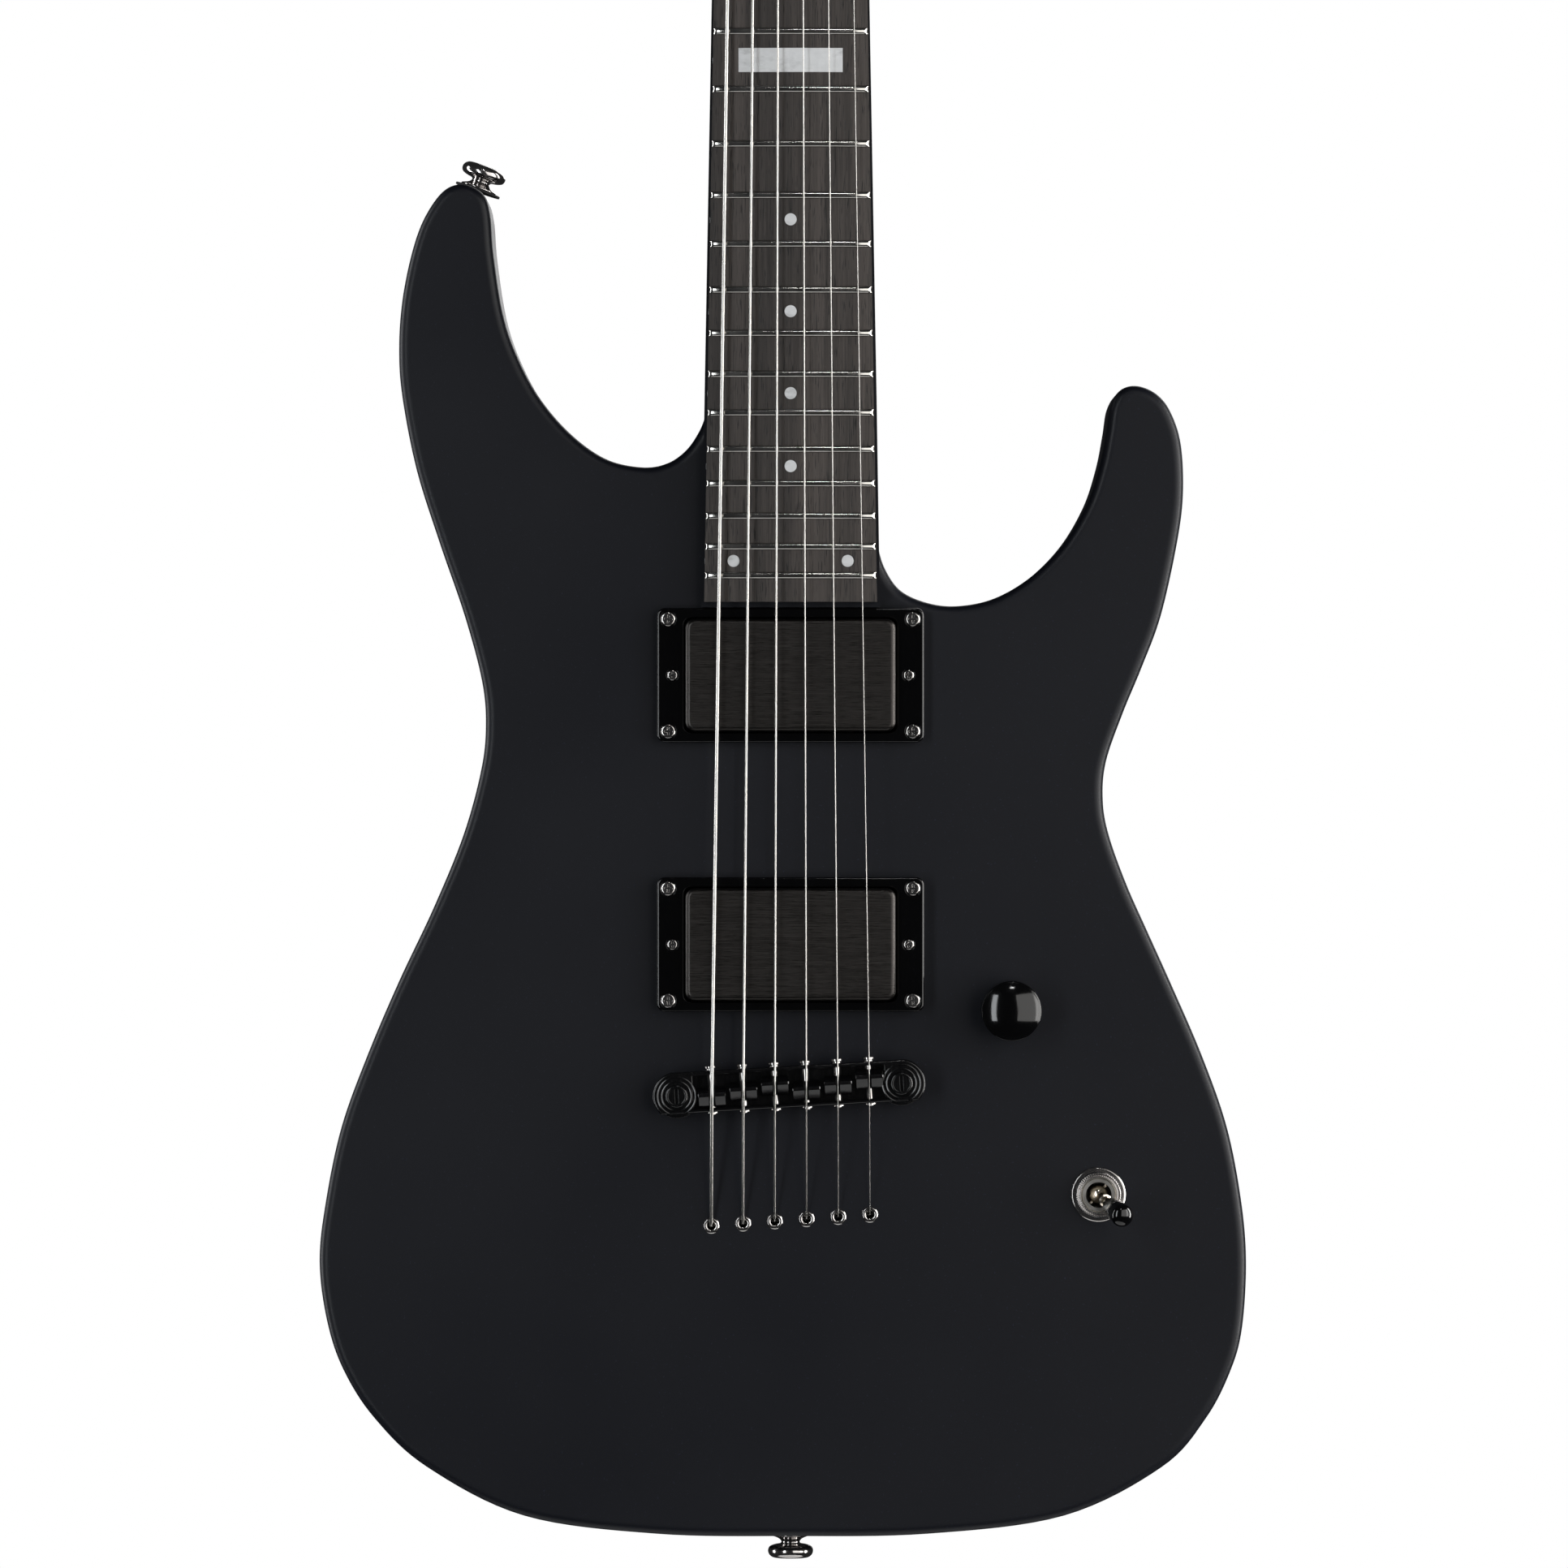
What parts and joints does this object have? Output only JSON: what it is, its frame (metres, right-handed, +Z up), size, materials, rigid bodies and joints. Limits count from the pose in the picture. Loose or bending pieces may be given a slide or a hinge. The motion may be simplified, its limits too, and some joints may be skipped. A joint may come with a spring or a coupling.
{
  "type": "electric guitar",
  "caption": "Solid-body electric guitar with a double-cutaway body, fretted neck, strings, adjustable bridge, two pickups, volume knob and switch.",
  "frame": {"origin": "where the rear strap button seats, at the lower end of the body on its middle line", "axes": "+Z up the neck towards the headstock, +X towards the thin strings' side, +Y towards the back"},
  "size_m": [0.3098, 0.0722, 0.9971],
  "materials": {
    "body_lacquer": "satin black lacquer over wood",
    "neck_lacquer": "satin black lacquer over wood",
    "ebony": "oiled dark fretboard wood with fine pores",
    "fret_wire": "polished nickel silver",
    "nut_black": "moulded black",
    "marker_white": "off-white",
    "steel": "plain steel",
    "brass": "plain brass",
    "black_plastic": "glossy black",
    "black_nickel": "black nickel plate",
    "string_steel": "bright steel and nickel winding",
    "black_metal": "gloss black plate",
    "brushed_cover": "brushed black chrome",
    "nickel": "nickel plate",
    "battery_case": "plain dark case",
    "lead_rubber": "flexible lead",
    "felt": "pressed felt"
  },
  "bodies": {
    "root": {"body": "body_lacquer", "neck": "neck_lacquer", "fretboard": "ebony", "frets": "fret_wire", "nut": "nut_black", "inlays": "marker_white", "truss_rod": "steel", "truss_rod_cover": "black_plastic", "tuner_housings": "black_nickel", "tuner_bushings": "black_nickel", "tuner_screws": "black_nickel", "strings": "string_steel", "string_ferrules": "black_nickel", "bridge_inserts": "steel", "pickup_rings": "black_plastic", "ring_screws": "black_nickel", "height_screws": "black_nickel", "neck_pickup_springs": "steel", "bridge_pickup_springs": "steel", "volume_pot": "steel", "switch_frame": "steel", "mounting_nuts": "nickel", "output_jack": "nickel", "battery": "battery_case", "wiring": "lead_rubber", "control_cover": "black_plastic", "cover_screws": "black_nickel", "strap_buttons": "black_nickel", "strap_screws": "black_nickel", "strap_felts": "felt"},
    "knob": {"volume_knob": "black_plastic", "pot_shaft": "steel"},
    "switch": {"switch_lever": "nickel", "switch_tip": "black_plastic"},
    "bridge": {"bridge_beam": "black_metal", "intonation_screws": "black_nickel"},
    "post_bass": {"bridge_post_bass": "black_metal"},
    "post_treble": {"bridge_post_treble": "black_metal"},
    "pickup_neck": {"neck_pickup": "brushed_cover"},
    "pickup_bridge": {"bridge_pickup": "brushed_cover"},
    "rod_nut": {"truss_rod_nut": "brass"},
    "button_1": {"tuner_button_1": "black_nickel"},
    "post_1": {"tuner_post_1": "black_nickel"},
    "saddle_1_body": {"saddle_1": "black_metal"},
    "button_2": {"tuner_button_2": "black_nickel"},
    "post_2": {"tuner_post_2": "black_nickel"},
    "saddle_2_body": {"saddle_2": "black_metal"},
    "button_3": {"tuner_button_3": "black_nickel"},
    "post_3": {"tuner_post_3": "black_nickel"},
    "saddle_3_body": {"saddle_3": "black_metal"},
    "button_4": {"tuner_button_4": "black_nickel"},
    "post_4": {"tuner_post_4": "black_nickel"},
    "saddle_4_body": {"saddle_4": "black_metal"},
    "button_5": {"tuner_button_5": "black_nickel"},
    "post_5": {"tuner_post_5": "black_nickel"},
    "saddle_5_body": {"saddle_5": "black_metal"},
    "button_6": {"tuner_button_6": "black_nickel"},
    "post_6": {"tuner_post_6": "black_nickel"},
    "saddle_6_body": {"saddle_6": "black_metal"}
  },
  "joints": [
    {"name": "volume_turn", "type": "hinge", "parent": "root", "child": "knob", "pos_m": [0.0735, -0.0225, 0.176], "axis": [0, -1, 0], "range_deg": [-150, 150]},
    {"name": "switch_throw", "type": "hinge", "parent": "root", "child": "switch", "pos_m": [0.1028, -0.0215, 0.1144], "axis": [0.6441, 0, 0.7649], "range_deg": [-44, 0]},
    {"name": "bridge_lift", "type": "slide", "parent": "root", "child": "bridge", "axis": [0, 1, 0], "range_m": [0, 0.0022]},
    {"name": "post_bass_turn", "type": "hinge", "parent": "bridge", "child": "post_bass", "pos_m": [-0.03794, -0.0225, 0.14754], "axis": [0, 1, 0], "range_deg": [0, 640]},
    {"name": "post_treble_turn", "type": "hinge", "parent": "bridge", "child": "post_treble", "pos_m": [0.03694, -0.0225, 0.15186], "axis": [0, 1, 0], "range_deg": [0, 640]},
    {"name": "neck_pickup_height", "type": "slide", "parent": "root", "child": "pickup_neck", "axis": [0, 1, 0], "range_m": [-0.001, 0.0025], "deforming": ["neck_pickup_springs"]},
    {"name": "bridge_pickup_height", "type": "slide", "parent": "root", "child": "pickup_bridge", "axis": [0, 1, 0], "range_m": [-0.001, 0.0025], "deforming": ["bridge_pickup_springs"]},
    {"name": "rod_nut_turn", "type": "hinge", "parent": "root", "child": "rod_nut", "pos_m": [0, -0.0195, 0.816], "axis": [0, 0, 1], "range_deg": [-90, 90]},
    {"name": "tuner_1_button", "type": "hinge", "parent": "root", "child": "button_1", "pos_m": [-0.01788, 0.00082, 0.8462], "axis": [-0.9658, 0.0361, 0.2568], "continuous": true},
    {"name": "tuner_1_post", "type": "hinge", "parent": "root", "child": "post_1", "pos_m": [-0.0199, -0.02133, 0.84171], "axis": [0, -0.9903, 0.1392], "continuous": true},
    {"name": "saddle_1_slide", "type": "slide", "parent": "bridge", "child": "saddle_1_body", "axis": [-0.0576, 0, 0.9983], "range_m": [-0.00035, 0.00415]},
    {"name": "tuner_2_button", "type": "hinge", "parent": "root", "child": "button_2", "pos_m": [-0.01122, 0.00427, 0.87076], "axis": [-0.9658, 0.0361, 0.2568], "continuous": true},
    {"name": "tuner_2_post", "type": "hinge", "parent": "root", "child": "post_2", "pos_m": [-0.01324, -0.01787, 0.86627], "axis": [0, -0.9903, 0.1392], "continuous": true},
    {"name": "saddle_2_slide", "type": "slide", "parent": "bridge", "child": "saddle_2_body", "axis": [-0.0576, 0, 0.9983], "range_m": [-0.00165, 0.00285]},
    {"name": "tuner_3_button", "type": "hinge", "parent": "root", "child": "button_3", "pos_m": [-0.00456, 0.00772, 0.89532], "axis": [-0.9658, 0.0361, 0.2568], "continuous": true},
    {"name": "tuner_3_post", "type": "hinge", "parent": "root", "child": "post_3", "pos_m": [-0.00658, -0.01442, 0.89082], "axis": [0, -0.9903, 0.1392], "continuous": true},
    {"name": "saddle_3_slide", "type": "slide", "parent": "bridge", "child": "saddle_3_body", "axis": [-0.0576, 0, 0.9983], "range_m": [-0.00295, 0.00155]},
    {"name": "tuner_4_button", "type": "hinge", "parent": "root", "child": "button_4", "pos_m": [0.0021, 0.01117, 0.91988], "axis": [-0.9658, 0.0361, 0.2568], "continuous": true},
    {"name": "tuner_4_post", "type": "hinge", "parent": "root", "child": "post_4", "pos_m": [0.00008, -0.01097, 0.91538], "axis": [0, -0.9903, 0.1392], "continuous": true},
    {"name": "saddle_4_slide", "type": "slide", "parent": "bridge", "child": "saddle_4_body", "axis": [-0.0576, 0, 0.9983], "range_m": [-0.00065, 0.00385]},
    {"name": "tuner_5_button", "type": "hinge", "parent": "root", "child": "button_5", "pos_m": [0.00876, 0.01462, 0.94444], "axis": [-0.9658, 0.0361, 0.2568], "continuous": true},
    {"name": "tuner_5_post", "type": "hinge", "parent": "root", "child": "post_5", "pos_m": [0.00674, -0.00752, 0.93994], "axis": [0, -0.9903, 0.1392], "continuous": true},
    {"name": "saddle_5_slide", "type": "slide", "parent": "bridge", "child": "saddle_5_body", "axis": [-0.0576, 0, 0.9983], "range_m": [-0.00185, 0.00265]},
    {"name": "tuner_6_button", "type": "hinge", "parent": "root", "child": "button_6", "pos_m": [0.01542, 0.01807, 0.969], "axis": [-0.9658, 0.0361, 0.2568], "continuous": true},
    {"name": "tuner_6_post", "type": "hinge", "parent": "root", "child": "post_6", "pos_m": [0.0134, -0.00407, 0.9645], "axis": [0, -0.9903, 0.1392], "continuous": true},
    {"name": "saddle_6_slide", "type": "slide", "parent": "bridge", "child": "saddle_6_body", "axis": [-0.0576, 0, 0.9983], "range_m": [-0.00335, 0.00115]}
  ],
  "couplings": [
    {"joint": "post_bass_turn", "follows": "bridge_lift", "rad_per_m": 5026.5},
    {"joint": "post_treble_turn", "follows": "bridge_lift", "rad_per_m": 5026.5},
    {"joint": "tuner_1_post", "follows": "tuner_1_button", "ratio": 0.066667},
    {"joint": "tuner_2_post", "follows": "tuner_2_button", "ratio": 0.066667},
    {"joint": "tuner_3_post", "follows": "tuner_3_button", "ratio": 0.066667},
    {"joint": "tuner_4_post", "follows": "tuner_4_button", "ratio": 0.066667},
    {"joint": "tuner_5_post", "follows": "tuner_5_button", "ratio": 0.066667},
    {"joint": "tuner_6_post", "follows": "tuner_6_button", "ratio": 0.066667}
  ]
}
